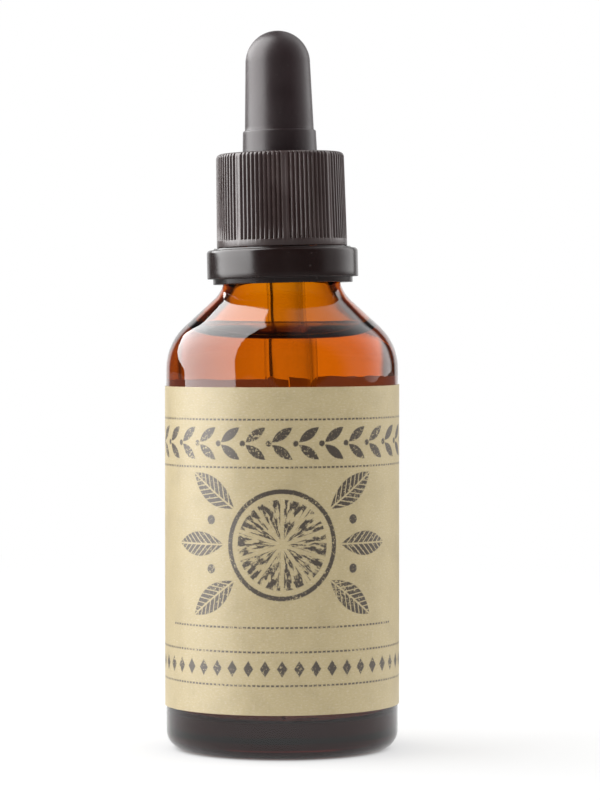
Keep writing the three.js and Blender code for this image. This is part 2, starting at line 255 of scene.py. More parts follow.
class StageSettings(bpy.types.PropertyGroup):
    """Camera, lamps and background."""

    camera_distance: size("Camera distance", 545.0, "Distance of the camera from the axis")
    camera_height: size("Camera height", 67.8, "Height of the camera above the floor")
    camera_yaw: angle("Camera yaw", 0.30, "Turn of the camera to the right")
    camera_pitch: angle("Camera pitch", 1.28, "Tilt of the camera downwards")
    lens: factor("Lens", 153.6, "Focal length in millimetres on a 36 mm sensor")
    key_level: factor("Key level", 1.8, "Brightness of the large softbox, where white is 1")
    key_shine: factor("Key shine", 3.6, "Brightness that the softbox has besides in reflections")
    fill_level: factor("Fill level", 1.7, "Brightness of the reflector on the right, on matt surfaces")
    fill_shine: factor("Fill shine", 1.0, "Brightness of the reflector in reflections")
    ambient_level: factor("Ambient level", 0.78, "Brightness of the room on matt surfaces")
    room_level: factor("Room level", 0.04, "Brightness of the dark room in reflections")
    floor_colour: colour("Floor", (0.42, 0.42, 0.42), "How much of the lamps' light the floor returns")
    floor_glow: factor("Floor glow", 0.53, "Even brightness of the floor")
    floor_mirrored: factor("Floor in mirrors", 0.2, "Brightness of the front floor in reflections")
    floor_through: factor("Floor through glass", 0.05, "Brightness of the near floor through glass")


# Mesh tools

def turn_round(mesh, vertices, turn):
    """Turns vertices round the bottle's axis."""
    bmesh.ops.rotate(mesh, cent=(0.0, 0.0, 0.0), matrix=Matrix.Rotation(turn, 3, "Z"), verts=vertices)


class Profile:
    """A line of radius against height, drawn run by run and then spun round the axis."""

    def __init__(self, radius, height):
        self.mesh = bmesh.new()
        self.first = self.mesh.verts.new((radius, 0.0, height))
        self.last = self.first

    def run(self, radius, height, cuts=0):
        """A straight run to a point, in equal pieces."""
        start = self.last.co.copy()
        end = Vector((radius, 0.0, height))
        for piece in range(1, cuts + 2):
            drawn = bmesh.ops.extrude_vert_indiv(self.mesh, verts=[self.last])
            self.last = drawn["verts"][0]
            self.last.co = start.lerp(end, piece / (cuts + 1))
        return self

    def bend(self, centre_radius, centre_height, turn, steps=ROUND_STEPS):
        """A round stretch about a centre, anticlockwise for a positive turn."""
        drawn = bmesh.ops.spin(
            self.mesh, geom=[self.last], cent=(centre_radius, 0.0, centre_height),
            axis=(0.0, -1.0, 0.0), angle=turn, steps=steps, use_merge=False)
        self.last = drawn["geom_last"][0]
        return self

    def closed(self):
        """Joins the line's end to its start."""
        self.mesh.edges.new((self.last, self.first))
        return self

    def turned(self, steps):
        """The closed body of revolution, facing outwards: one part is spun and then doubled."""
        parts = 8
        line = self.mesh.verts[:] + self.mesh.edges[:]
        bmesh.ops.spin(
            self.mesh, geom=line, cent=(0.0, 0.0, 0.0), axis=(0.0, 0.0, 1.0),
            angle=TURN / parts, steps=steps // parts, use_merge=False)
        while parts > 1:
            whole = self.mesh.verts[:] + self.mesh.edges[:] + self.mesh.faces[:]
            copy = bmesh.ops.duplicate(self.mesh, geom=whole)["geom"]
            copied = [item for item in copy if isinstance(item, bmesh.types.BMVert)]
            turn_round(self.mesh, copied, TURN / parts)
            parts //= 2
        bmesh.ops.remove_doubles(self.mesh, verts=self.mesh.verts[:], dist=WELD)
        bmesh.ops.recalc_face_normals(self.mesh, faces=self.mesh.faces[:])
        return self.mesh


def smooth_step(value):
    """Eases a value from 0 to 1."""
    held = min(1.0, max(0.0, value))
    return held * held * (3.0 - 2.0 * held)


def raise_helix(mesh, wall, foot, pitch, turns, half_width, height, fade):
    """Moves a round wall out, or in for a negative height, along a helix that fades at its ends."""
    for vertex in mesh.verts:
        radius = vertex.co.xy.length
        if abs(radius - wall) > WELD:
            continue
        turn = (math.atan2(vertex.co.y, vertex.co.x) % TURN) / TURN
        while turn <= turns:
            offset = (vertex.co.z - foot - pitch * turn) / half_width
            if abs(offset) < 1.0:
                ease = smooth_step(min(turn, turns - turn) / fade)
                lift = height * ease * math.cos(offset * QUARTER) ** 2
                vertex.co.xy *= (radius + lift) / radius
                break
            turn += 1.0


def lean(mesh, turn, height):
    """Leans a piece to the left, about a point of the axis."""
    matrix = Matrix.Rotation(-turn, 3, "Y")
    bmesh.ops.rotate(mesh, cent=(0.0, 0.0, height), matrix=matrix, verts=mesh.verts[:])


def lean_closure(mesh, dropper):
    """Leans a piece of the closure, which is screwed on a little askew."""
    lean(mesh, dropper.lean, CAP_BOX[0].z)


def lean_tube(mesh, dropper):
    """Leans the pipette or its dose with the closure, and a little more in its loose seat."""
    lean(mesh, dropper.tube_lean, PIPETTE_BOX[1].z)
    lean_closure(mesh, dropper)


def finish_mesh(name, mesh, material):
    """Turns a bmesh into an object with smooth faces and sharp corners."""
    for edge in mesh.edges:
        edge.smooth = edge.calc_face_angle(0.0) < SHARP_ANGLE
    for face in mesh.faces:
        face.smooth = True
    data = bpy.data.meshes.new(name)
    mesh.to_mesh(data)
    mesh.free()
    data.materials.append(material)
    piece = bpy.data.objects.new(name, data)
    bpy.context.scene.collection.objects.link(piece)
    return piece


def dress(piece, body, node):
    """Hangs a piece from the empty of a body and hides the CAD node's part that the piece takes the
    place of.
    """
    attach(piece, body)
    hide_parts(node)
    return piece


# Shader tools

def feed(tree, socket, value):
    """Joins an output to a socket, or sets the socket to a plain value."""
    if isinstance(value, bpy.types.NodeSocket):
        tree.links.new(value, socket)
    else:
        socket.default_value = value


def add_node(tree, kind, inputs=None, **settings):
    """Adds a node with its settings and inputs."""
    made = tree.nodes.new("ShaderNode" + kind)
    for name, value in settings.items():
        setattr(made, name, value)
    for name, value in (inputs or {}).items():
        feed(tree, made.inputs[name], value)
    return made


class Field:
    """A number that changes over a surface. Reckoning with it adds math nodes."""

    def __init__(self, tree, socket):
        self.tree = tree
        self.socket = socket

    def reckon(self, operation, *others, clamp=False):
        """The result of a math node on this number and others."""
        made = self.tree.nodes.new("ShaderNodeMath")
        made.operation = operation
        made.use_clamp = clamp
        for socket, value in zip(made.inputs, (self, *others)):
            feed(self.tree, socket, value.socket if isinstance(value, Field) else value)
        return Field(self.tree, made.outputs[0])

    def __add__(self, other):
        return self.reckon("ADD", other)

    def __sub__(self, other):
        return self.reckon("SUBTRACT", other)

    def __rsub__(self, number):
        return self.reckon("MULTIPLY_ADD", -1.0, number)

    def __mul__(self, other):
        return self.reckon("MULTIPLY", other)

    def __truediv__(self, other):
        return self.reckon("DIVIDE", other)

    def size(self):
        """The number without its sign."""
        return self.reckon("ABSOLUTE")

    def reach(self, other):
        """The distance to a place with this number and another as its coordinates."""
        return (self * self + other * other).reckon("SQRT")

    def least(self, other):
        return self.reckon("MINIMUM", other)

    def most(self, other):
        return self.reckon("MAXIMUM", other)

    def repeat(self, period):
        """The number within one period, measured from the period's middle."""
        return self.reckon("WRAP", period / 2, -period / 2)

    def inked(self, softness):
        """1 where this distance is below zero, 0 where it is above, with a soft edge."""
        return self.reckon("MULTIPLY_ADD", -0.5 / softness, 0.5, clamp=True)

    def ramp(self, low, high):
        """Eases from 0 at the low value to 1 at the high one."""
        made = add_node(self.tree, "MapRange", interpolation_type="SMOOTHSTEP", inputs={
            "Value": self.socket, "From Min": low, "From Max": high})
        return Field(self.tree, made.outputs["Result"])

    def between(self, low, high):
        """Spreads 0 to 1 over low to high."""
        return self.reckon("MULTIPLY_ADD", high - low, low)


def noise(tree, place, scale, detail=2.0, roughness=0.5):
    """Cloudy noise, from 0 to 1."""
    made = add_node(tree, "TexNoise", inputs={
        "Vector": place, "Scale": scale, "Detail": detail, "Roughness": roughness})
    return Field(tree, made.outputs["Fac"])


def blend_colours(tree, share, first, second):
    """A colour between two, by a share from 0 to 1."""
    made = tree.nodes.new("ShaderNodeMix")
    made.data_type = "RGBA"
    feed(tree, made.inputs["Factor"], share.socket if isinstance(share, Field) else share)
    for socket, value in zip(made.inputs[6:8], (first, second)):
        feed(tree, socket, value if isinstance(value, bpy.types.NodeSocket) else (*value, 1.0))
    return made.outputs[2]


def new_material(name):
    """A material with its tree, its surface shader and its output."""
    material = bpy.data.materials.new(name)
    material.use_nodes = True
    nodes = material.node_tree.nodes
    return material, material.node_tree, nodes["Principled BSDF"], nodes["Material Output"]


def object_place(tree):
    """Object coordinates, in metres in the bottle's frame."""
    return add_node(tree, "TexCoord").outputs["Object"]


def axis_place(tree):
    """The distance from the bottle's axis and the height above the floor."""
    split = add_node(tree, "SeparateXYZ", inputs={"Vector": object_place(tree)})
    across, deep, height = (Field(tree, split.outputs[axis]) for axis in "XYZ")
    return across.reach(deep), height


def make_clear(surface, tint, refraction):
    """Turns a surface into that of a clear body."""
    surface.inputs["Base Color"].default_value = (*tint, 1.0)
    surface.inputs["Transmission Weight"].default_value = 1.0
    surface.inputs["IOR"].default_value = refraction


def tint_depth(tree, output, tint, density):
    """Tints a clear body in its depth."""
    absorb = add_node(tree, "VolumeAbsorption", inputs={"Color": (*tint, 1.0), "Density": density})
    feed(tree, output.inputs["Volume"], absorb.outputs["Volume"])


def bump(tree, surface, height, strength, distance):
    """Raises a surface by a field."""
    made = add_node(tree, "Bump", inputs={
        "Height": height.socket, "Strength": strength, "Distance": distance})
    feed(tree, surface.inputs["Normal"], made.outputs["Normal"])


def moulded_skin():
    """The shared node group for moulded surfaces: fine grain, soft mottling and settled dust."""
    name = "Moulded Skin"
    if name in bpy.data.node_groups:
        return bpy.data.node_groups[name]
    tree = bpy.data.node_groups.new(name, "ShaderNodeTree")
    tree.interface.new_socket("Grain Scale", in_out="INPUT", socket_type="NodeSocketFloat")
    tree.interface.new_socket("Mottle Scale", in_out="INPUT", socket_type="NodeSocketFloat")
    for output in ("Grain", "Mottle", "Dust"):
        tree.interface.new_socket(output, in_out="OUTPUT", socket_type="NodeSocketFloat")
    given = tree.nodes.new("NodeGroupInput")
    result = tree.nodes.new("NodeGroupOutput")
    place = object_place(tree)
    grain = noise(tree, place, given.outputs["Grain Scale"], 3.0, 0.6)
    mottle = noise(tree, place, given.outputs["Mottle Scale"], 4.0, 0.55).ramp(0.3, 0.7)
    speck = noise(tree, place, given.outputs["Grain Scale"], 1.0, 0.4).ramp(0.68, 0.78)
    for output, value in (("Grain", grain), ("Mottle", mottle), ("Dust", speck)):
        feed(tree, result.inputs[output], value.socket)
    return tree


def moulded_material(name, dark, pale, dust, roughness, specular, grain_scale, grain_depth):
    """Dark moulded plastic or rubber. Roughness is a pair, for its smooth and its dull places."""
    material, tree, surface, _ = new_material(name)
    skin = tree.nodes.new("ShaderNodeGroup")
    skin.node_tree = moulded_skin()
    skin.inputs["Grain Scale"].default_value = grain_scale
    skin.inputs["Mottle Scale"].default_value = MOTTLE_SCALE
    grain = Field(tree, skin.outputs["Grain"])
    mottle = Field(tree, skin.outputs["Mottle"])
    base = blend_colours(tree, mottle, dark, pale)
    dusty = blend_colours(tree, Field(tree, skin.outputs["Dust"]) * dust, base, DUST_COLOUR)
    feed(tree, surface.inputs["Base Color"], dusty)
    dull = (grain * 0.5 + mottle * 0.5).between(*roughness)
    feed(tree, surface.inputs["Roughness"], dull.socket)
    surface.inputs["Specular IOR Level"].default_value = specular
    bump(tree, surface, grain, 0.5, grain_depth)
    return material


# Glass bottle

class GlassShape:
    """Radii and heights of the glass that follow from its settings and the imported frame."""

    def __init__(self, glass):
        self.body = GLASS_BOX[1].x
        self.mouth = GLASS_BOX[1].z
        self.inner = self.body - glass.wall
        self.shoulder_centre = self.body - glass.shoulder_radius
        self.inner_shoulder = glass.shoulder_radius - glass.wall
        self.foot_outer = self.body - glass.heel
        self.bead_top = self.mouth - glass.finish_height
        self.bead_foot = self.bead_top - glass.bead_height
        self.neck_foot = self.bead_foot - glass.neck_height
        self.bead = glass.neck_radius + glass.bead_overhang
        self.heel_centre = self.inner - glass.inner_heel
        self.heel_top = glass.floor + glass.inner_heel
        self.thread_foot = self.mouth - glass.thread_depth - glass.thread_turns * glass.thread_pitch

        self.slope_radius = self.shoulder_centre + self.inner_shoulder * math.cos(glass.slope)
        self.slope_height = glass.shoulder_start + self.inner_shoulder * math.sin(glass.slope)
        self.fillet_centre = glass.neck_radius + glass.neck_fillet
        self.inner_fillet = glass.neck_fillet + glass.wall


def amber_glass(glass):
    """Moulded amber glass: clear, tinted in its depth, faintly wavy, and stippled under its foot."""
    material, tree, surface, output = new_material("Amber glass")
    place = object_place(tree)
    wave = noise(tree, place, 90.0, 2.0, 0.5)
    haze = noise(tree, place, 700.0, 3.0, 0.6).ramp(0.35, 0.75)
    radius, height = axis_place(tree)
    stipple = radius.ramp(*STIPPLE_RADIUS) * height.ramp(*STIPPLE_HEIGHT) * STIPPLE_ROUGHNESS
    make_clear(surface, CLEAR, GLASS_IOR)
    feed(tree, surface.inputs["Roughness"], haze.between(0.0, 0.02).most(stipple).socket)
    bump(tree, surface, wave, 0.35, 0.0004)
    tint_depth(tree, output, glass.tint, glass.density)
    return material


class BOTTLE_OT_glass(bpy.types.Operator):
    """Blow the amber bottle with its shoulder, bead, thread and hollow foot"""

    bl_idname = "bottle.glass"
    bl_label = "Glass bottle"

    def execute(self, context):
        glass = context.scene.bottle_glass
        shape = GlassShape(glass)
        foot_inner = shape.foot_outer - glass.foot_width
        dome = (foot_inner ** 2 + glass.push_up ** 2) / (2.0 * glass.push_up)
        fillet = glass.neck_fillet
        fillet_rise = fillet * math.sin(glass.slope)
        fillet_reach = glass.neck_radius + fillet * (1.0 - math.cos(glass.slope))
        bead_edge = shape.bead - glass.bead_round
        lip = glass.mouth_round
        hollow_top = shape.neck_foot - shape.inner_fillet * math.sin(glass.inner_neck_end)
        hollow_neck = shape.fillet_centre - shape.inner_fillet * math.cos(glass.inner_neck_end)
        line = Profile(0.0, glass.push_up)
        line.bend(0.0, glass.push_up - dome, -math.asin(foot_inner / dome))
        line.run(shape.foot_outer, 0.0)
        line.bend(shape.foot_outer, glass.heel, QUARTER, CURVE_STEPS)
        line.run(shape.body, glass.shoulder_start, 24)
        line.bend(shape.shoulder_centre, glass.shoulder_start, glass.slope, CURVE_STEPS)
        line.run(fillet_reach, shape.neck_foot - fillet_rise, 6)
        line.bend(glass.neck_radius + fillet, shape.neck_foot, -glass.slope, CURVE_STEPS)
        line.run(glass.neck_radius, shape.bead_foot, 2)
        line.run(bead_edge, shape.bead_foot)
        line.bend(bead_edge, shape.bead_foot + glass.bead_round, QUARTER)
        line.run(shape.bead, shape.bead_top - glass.bead_round)
        line.bend(bead_edge, shape.bead_top - glass.bead_round, QUARTER)
        line.run(glass.finish_radius, shape.bead_top)
        line.run(glass.finish_radius, shape.mouth - lip, 72)
        line.bend(glass.finish_radius - lip, shape.mouth - lip, QUARTER)
        line.run(glass.mouth_radius + lip, shape.mouth)
        line.bend(glass.mouth_radius + lip, shape.mouth - lip, QUARTER)
        line.run(glass.bore_foot, hollow_top + glass.bore_taper, 8)
        line.run(hollow_neck, hollow_top, 4)
        line.bend(
            shape.fillet_centre, shape.neck_foot, glass.slope - glass.inner_neck_end, CURVE_STEPS)
        line.run(shape.slope_radius, shape.slope_height, 6)
        line.bend(shape.shoulder_centre, glass.shoulder_start, -glass.slope, CURVE_STEPS)
        line.run(shape.inner, shape.heel_top, 24)
        line.bend(shape.heel_centre, shape.heel_top, -QUARTER, CURVE_STEPS)
        line.run(0.0, glass.floor, 4)
        mesh = line.turned(GLASS_STEPS)
        raise_helix(
            mesh, glass.finish_radius, shape.thread_foot, glass.thread_pitch, glass.thread_turns,
            glass.thread_half_width, glass.thread_height, glass.thread_fade)
        piece = finish_mesh("glass_bottle_amber", mesh, amber_glass(glass))
        dress(piece, "bottle", "glass_bottle")
        return {"FINISHED"}


# Paper label

class LabelPrint:
    """The generic print on the label: ornament bands all round, a citrus slice with leaves in front,
    and rules to write on at the back, on both sides of the seam.

    Places are in millimetres from the middle of the label's foot, along the paper and up it.
    """

    PANELS = 2
    RULE_HALF = 0.14
    DOT_PERIOD = 0.74
    DOT_LENGTH = 0.50
    UPPER_RULES = (45.8, 38.4)
    LOWER_RULES = (9.8, 4.6)
    WRITING_RULE = 13.6
    WRITING_HALF = 21.0
    LAUREL_COUNT = 14
    LAUREL_LEAF = (1.95, 0.72)
    LAUREL_LEAN = math.radians(36)
    LAUREL_OFFSET = 1.35
    BEAD = 0.46
    LOZENGE_COUNT = 22
    LOZENGE = (0.82, 1.25)
    SLICE_CENTRE = 26.4
    SLICE_RADIUS = 8.3
    SLICE_PARTS = 10
    RIND_HALF = 0.36
    PITH = 1.25
    MEMBRANE = 0.30
    CORE = 1.0
    PULP_TURN = 9.0
    PULP_REACH = 0.55
    PULP_SHARE = 0.49
    PULP_EDGE = 1.6
    LEAF = (4.7, 1.9)
    LEAF_REACH = 14.2
    LEAF_FAN = math.radians(36)
    VEIN_PERIOD = 1.05
    VEIN_HALF = 0.11
    RIB_HALF = 0.13
    BERRY = 0.72
    BERRY_REACH = 12.4
    NOTE_RULES = (14.6, 19.0, 23.4, 27.8)
    NOTE_HALF = 9.8
    NOTE_LEAF_HEIGHT = 32.6

    def __init__(self, tree, along, up, length):
        self.tree = tree
        self.panel = length / self.PANELS
        self.along = along.repeat(self.panel)
        self.from_front = along.size()
        self.up = up

    def dotted(self, height):
        """A dotted rule right round the label."""
        dot = self.along.repeat(self.DOT_PERIOD).size() - self.DOT_LENGTH / 2
        return ((self.up - height).size() - self.RULE_HALF).most(dot)

    def rules(self):
        """The four dotted rules, the divider between two panels, and the rule to write on."""
        drawn = self.dotted(self.WRITING_RULE).most(self.from_front - self.WRITING_HALF)
        for height in (*self.UPPER_RULES, *self.LOWER_RULES):
            drawn = drawn.least(self.dotted(height))
        dot = self.up.repeat(self.DOT_PERIOD).size() - self.DOT_LENGTH / 2
        divider = ((self.along.size() - self.panel / 2).size() - self.RULE_HALF).most(dot)
        middle = (self.UPPER_RULES[1] + self.LOWER_RULES[0]) / 2
        tall = (self.UPPER_RULES[1] - self.LOWER_RULES[0]) / 2
        return drawn.least(divider.most((self.up - middle).size() - tall))

    def leaf(self, along, up, half_length, half_width):
        """A pointed leaf that lies along its own first axis."""
        share = along / half_length
        return up.size() + share * share * half_width - half_width

    def turned(self, along, up, turn):
        """A place seen from axes that are turned."""
        cosine, sine = math.cos(turn), math.sin(turn)
        return along * cosine + up * sine, up * cosine - along * sine

    def laurel(self):
        """The upper band: leaning leaves in pairs, with a bead between the pairs."""
        pitch = self.panel / self.LAUREL_COUNT
        middle = sum(self.UPPER_RULES) / 2
        along = self.along.repeat(pitch)
        up = (self.up - middle).size()
        place = self.turned(along, up - self.LAUREL_OFFSET, self.LAUREL_LEAN)
        leaves = self.leaf(*place, *self.LAUREL_LEAF)
        beside = (along.size() - pitch / 2).size()
        return leaves.least(beside.reach(up) - self.BEAD)

    def lozenges(self):
        """The lower band: a row of lozenges."""
        middle = sum(self.LOWER_RULES) / 2
        half_width, half_height = self.LOZENGE
        along = self.along.repeat(self.panel / self.LOZENGE_COUNT).size() / half_width
        up = (self.up - middle).size() / half_height
        return (along + up - 1.0) * (half_width * 0.8)

    def citrus(self):
        """A cut citrus fruit: rind, pith, juicy parts and core."""
        up = self.up - self.SLICE_CENTRE
        radius = self.along.reach(up)
        turn = up.reckon("ARCTAN2", self.along)
        part = TURN / self.SLICE_PARTS
        edge = radius * (part / 2 - turn.repeat(part).size())
        rind = (radius - self.SLICE_RADIUS).size() - self.RIND_HALF
        inside = (radius - (self.SLICE_RADIUS - self.PITH)).most(self.MEMBRANE - edge)
        flesh = inside.most(self.CORE - radius)
        strokes = add_node(self.tree, "CombineXYZ", inputs={
            "X": (turn * self.PULP_TURN).socket, "Y": (radius * self.PULP_REACH).socket})
        pulp = noise(self.tree, strokes.outputs["Vector"], 1.0, 2.0, 0.5)
        return rind.least(flesh.most((self.PULP_SHARE - pulp) * self.PULP_EDGE))

    def sprigs(self):
        """Three veined leaves and two berries on each side of the fruit."""
        side = self.along.size()
        up = self.up - self.SLICE_CENTRE
        drawn = None
        for step in (-1, 0, 1):
            along, across = self.turned(side, up, step * self.LEAF_FAN)
            outline = self.leaf(along - self.LEAF_REACH, across, *self.LEAF)
            slant = (along - across.size()).repeat(self.VEIN_PERIOD)
            veined = outline.most(self.RIB_HALF - across.size()).most(self.VEIN_HALF - slant.size())
            drawn = veined if drawn is None else drawn.least(veined)
        for step in (-0.5, 0.5):
            along, across = self.turned(side, up, step * self.LEAF_FAN)
            drawn = drawn.least((along - self.BERRY_REACH).reach(across) - self.BERRY)
        return drawn

    def notes(self):
        """A leaf over four dotted rules, on each half of the back."""
        beside = self.from_front - self.panel * 0.75
        up = self.up - self.NOTE_LEAF_HEIGHT
        drawn = self.leaf(beside, up, *self.LEAF).most(self.RIB_HALF - up.size())
        for height in self.NOTE_RULES:
            drawn = drawn.least(self.dotted(height).most(beside.size() - self.NOTE_HALF))
        return drawn

    def distance(self):
        """The distance to the nearest printed shape, below zero inside it."""
        emblem = self.citrus().least(self.sprigs()).most(self.from_front - self.panel / 2)
        shapes = (self.laurel(), self.lozenges(), emblem, self.notes())
        drawn = self.rules()
        for shape in shapes:
            drawn = drawn.least(shape)
        return drawn


def label_paper(label, outer, length, height):
    """Cream kraft paper with fibres, specks and a worn print, and a painted glow on its glued side that
    stands in for light coming through the paper.
    """
    material, tree, surface, _ = new_material("Label paper")
    paper = add_node(tree, "UVMap", uv_map="Label").outputs["UV"]
    sheet = add_node(tree, "Mapping", inputs={
        "Vector": paper, "Location": (-length / 2, 0.0, 0.0), "Scale": (length, height, 1.0)})
    place = sheet.outputs["Vector"]
    split = add_node(tree, "SeparateXYZ", inputs={"Vector": place})
    bleed = noise(tree, place, 3.4, 2.0, 0.6) - 0.5
    along = Field(tree, split.outputs["X"]) + bleed * 0.22
    up = Field(tree, split.outputs["Y"]) + bleed * 0.18
    drawn = LabelPrint(tree, along, up, length).distance().inked(0.07)
    wear = noise(tree, place, 2.6, 5.0, 0.7)
    faded = noise(tree, place, 0.16, 2.0, 0.5).between(0.16, 0.56)
    ink = drawn * (wear - faded).ramp(-0.02, 0.10) * 0.93

    fibre_place = add_node(tree, "Mapping", inputs={"Vector": place, "Scale": (1.0, 2.2, 1.0)})
    fibre = noise(tree, fibre_place.outputs["Vector"], 1.9, 4.0, 0.65)
    cloud = noise(tree, place, 0.22, 3.0, 0.55)
    speck = noise(tree, place, 4.2, 1.0, 0.4)
    base = blend_colours(tree, fibre.ramp(0.46, 0.78), label.paper, label.pale)
    base = blend_colours(tree, cloud.ramp(0.40, 0.75) * 0.25, base, label.dark)
    base = blend_colours(tree, speck.ramp(0.64, 0.76) * 0.45, base, label.dark)
    base = blend_colours(tree, fibre.ramp(0.40, 0.24) * 0.35, base, label.dark)
    feed(tree, surface.inputs["Base Color"], blend_colours(tree, ink, base, label.ink))
    feed(tree, surface.inputs["Roughness"], (fibre * 0.2 + ink * -0.06 + 0.34).socket)
    surface.inputs["Specular IOR Level"].default_value = 1.0
    bump(tree, surface, fibre + speck * 0.4, 0.35, 0.00006)
    # Painted light: the glued inner face glows in the Lit through colour, standing in for light through
    # the paper and the glass.
    glued = axis_place(tree)[0].ramp(outer - label.thickness * 0.6, outer - label.thickness * 0.9)
    feed(tree, surface.inputs["Emission Color"], blend_colours(tree, glued, BLACK, label.lit))
    surface.inputs["Emission Strength"].default_value = 1.0
    return material


class BOTTLE_OT_label(bpy.types.Operator):
    """Wrap the crooked paper label round the body"""

    bl_idname = "bottle.label"
    bl_label = "Paper label"

    BACK_SPREAD = math.radians(40)

    def execute(self, context):
        label = context.scene.bottle_label
        foot, top = LABEL_BOX[0].z, LABEL_BOX[1].z
        outer = -LABEL_BOX[0].y
        inner = outer - label.thickness
        start = -QUARTER - label.wrap / 2.0
        mesh = Profile(inner, foot).run(outer, foot).run(outer, top, 12).run(inner, top).closed().mesh
        turn_round(mesh, mesh.verts[:], start)
        bmesh.ops.spin(
            mesh, geom=mesh.verts[:] + mesh.edges[:], cent=(0.0, 0.0, 0.0), axis=(0.0, 0.0, 1.0),
            angle=label.wrap, steps=LABEL_STEPS, use_merge=False)
        ends = [edge for edge in mesh.edges if edge.is_boundary]
        bmesh.ops.holes_fill(mesh, edges=ends)
        bmesh.ops.recalc_face_normals(mesh, faces=mesh.faces[:])
        self.unroll(mesh, label, foot, top)
        for vertex in mesh.verts:
            bearing = self.bearing(vertex)
            behind = smooth_step((abs(bearing) - QUARTER) / self.BACK_SPREAD)
            vertex.co.z += math.tan(label.tilt) * bearing * outer + label.back_rise * behind
        material = label_paper(label, outer, label.wrap * outer / MM, (top - foot) / MM)
        piece = finish_mesh("paper_label_printed", mesh, material)
        dress(piece, "bottle", "paper_label")
        return {"FINISHED"}

    def bearing(self, vertex):
        """The angle round the body from the front, positive to the right."""
        return math.atan2(vertex.co.x, -vertex.co.y)

    def unroll(self, mesh, label, foot, top):
        """Lays the label flat in its UV map, from 0 to 1 along it and up it."""
        layer = mesh.loops.layers.uv.new("Label")
        for face in mesh.faces:
            for loop in face.loops:
                loop[layer].uv = (
                    self.bearing(loop.vert) / label.wrap + 0.5,
                    (loop.vert.co.z - foot) / (top - foot))


# Liquid

def bitters(liquid):
    """Clear orange-brown liquid, tinted in its depth."""
    material, tree, surface, output = new_material("Bitters")
    make_clear(surface, CLEAR, LIQUID_IOR)
    surface.inputs["Roughness"].default_value = 0.0
    tint_depth(tree, output, liquid.tint, liquid.density)
    return material


class BOTTLE_OT_liquid(bpy.types.Operator):
    """Fill the bottle and the pipette with bitters"""

    bl_idname = "bottle.liquid"
    bl_label = "Bitters"

    def execute(self, context):
        scene = context.scene
        liquid = scene.bottle_liquid
        material = bitters(liquid)
        fill = finish_mesh("bitters_in_bottle", self.fill(scene.bottle_glass, liquid), material)
        dress(fill, "bottle", "bitters_fill")
        dose = finish_mesh("bitters_in_pipette", self.dose(scene.bottle_dropper, liquid), material)
        dress(dose, "dropper", "pipette_dose")
        return {"FINISHED"}

    def fill(self, glass, liquid):
        """The liquid in the bottle, which climbs the shoulder in a meniscus."""
        shape = GlassShape(glass)
        reach = shape.inner_shoulder + liquid.overlap
        level = FILL_BOX[1].z
        round_height = level + liquid.meniscus
        cosine, sine = math.cos(glass.slope), math.sin(glass.slope)
        wall = shape.shoulder_centre * cosine + glass.shoulder_start * sine
        round_radius = (wall + reach - liquid.meniscus - round_height * sine) / cosine
        line = Profile(0.0, glass.floor - liquid.overlap)
        line.run(shape.heel_centre, glass.floor - liquid.overlap, 4)
        line.bend(shape.heel_centre, shape.heel_top, QUARTER, CURVE_STEPS)
        line.run(shape.inner + liquid.overlap, glass.shoulder_start, 24)
        line.bend(shape.shoulder_centre, glass.shoulder_start, glass.slope, CURVE_STEPS)
        line.run(round_radius + liquid.meniscus * cosine, round_height + liquid.meniscus * sine, 3)
        line.bend(round_radius, round_height, -glass.slope - QUARTER, CURVE_STEPS)
        line.run(0.0, level, 6)
        return line.turned(GLASS_STEPS)

    def dose(self, dropper, liquid):
        """The column in the pipette, with a hollow top."""
        tip = PIPETTE_BOX[0].z + liquid.overlap
        bore = dropper.pipette_bore + liquid.overlap
        level = DOSE_BOX[1].z
        bowl = (bore ** 2 + liquid.dose_sag ** 2) / (2.0 * liquid.dose_sag)
        line = Profile(0.0, tip)
        line.run(dropper.tip_bore + liquid.overlap, tip)
        line.run(bore, tip + dropper.tip_taper, 4)
        line.run(bore, level, 12)
        line.bend(0.0, level - liquid.dose_sag + bowl, -math.asin(bore / bowl), ROUND_STEPS)
        mesh = line.turned(DROPPER_STEPS)
        lean_tube(mesh, dropper)
        return mesh


# Closure

